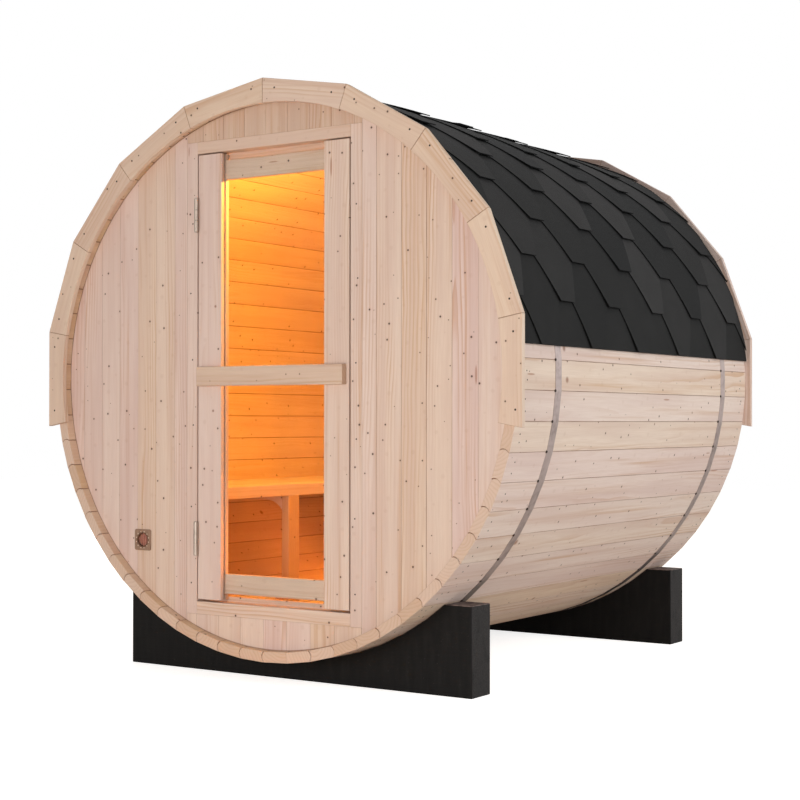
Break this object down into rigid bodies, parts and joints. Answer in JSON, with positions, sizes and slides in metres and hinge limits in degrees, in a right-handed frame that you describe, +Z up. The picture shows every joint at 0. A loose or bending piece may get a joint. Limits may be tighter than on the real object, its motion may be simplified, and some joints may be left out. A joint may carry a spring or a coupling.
{
  "type": "barrel sauna",
  "caption": "Barrel sauna of bead and cove staves on two cradles, with a hexagonal shingle roof, mitred end fascias, a bench inside and a hinged glass door.",
  "frame": {"origin": "on the ground under the middle of the barrel", "axes": "+Z up, the door faces -Y, the barrel's axis runs along Y, the door is hinged on the -X side"},
  "size_m": [1.84, 1.79, 1.9042],
  "materials": {
    "spruce": "planed and untreated",
    "shingle": "matte granulated bitumen",
    "hoop_steel": "galvanised",
    "hinge_steel": "satin",
    "cradle_black": "black paint",
    "door_glass": "clear",
    "vent": "stained"
  },
  "bodies": {
    "sauna": {"right_staves_bottom": "spruce", "right_staves_low": "spruce", "right_staves_high": "spruce", "right_staves_top": "spruce", "left_staves_bottom": "spruce", "left_staves_low": "spruce", "left_staves_high": "spruce", "left_staves_top": "spruce", "front_fascia_right": "spruce", "front_fascia_left": "spruce", "back_fascia_right": "spruce", "back_fascia_left": "spruce", "roof_right": "shingle", "roof_left": "shingle", "front_hoop": "hoop_steel", "back_hoop": "hoop_steel", "front_cradle": "cradle_black", "back_cradle": "cradle_black", "front_wall_left": "spruce", "front_wall_right": "spruce", "front_wall_over_door": "spruce", "front_wall_under_door": "spruce", "back_wall": "spruce", "door_post_left": "spruce", "door_post_right": "spruce", "door_head": "spruce", "door_sill": "spruce", "hinge_frame_leaves": "hinge_steel", "hinge_pins": "hinge_steel", "vent_plate_front": "vent", "bench_front_rail": "spruce", "bench_slats": "spruce", "bench_bearers": "spruce", "bench_posts": "spruce"},
    "door": {"hinge_stile": "spruce", "latch_stile": "spruce", "hinge_stile_inner": "spruce", "latch_stile_inner": "spruce", "door_top_rail": "spruce", "door_bottom_rail": "spruce", "door_glass": "door_glass", "door_crossbar": "spruce", "hinge_door_leaves": "hinge_steel"}
  },
  "joints": [
    {"name": "door_hinge", "type": "hinge", "parent": "sauna", "child": "door", "pos_m": [-0.2995, -0.8535, 0.97], "axis": [0, 0, -1], "range_deg": [0, 120]}
  ]
}
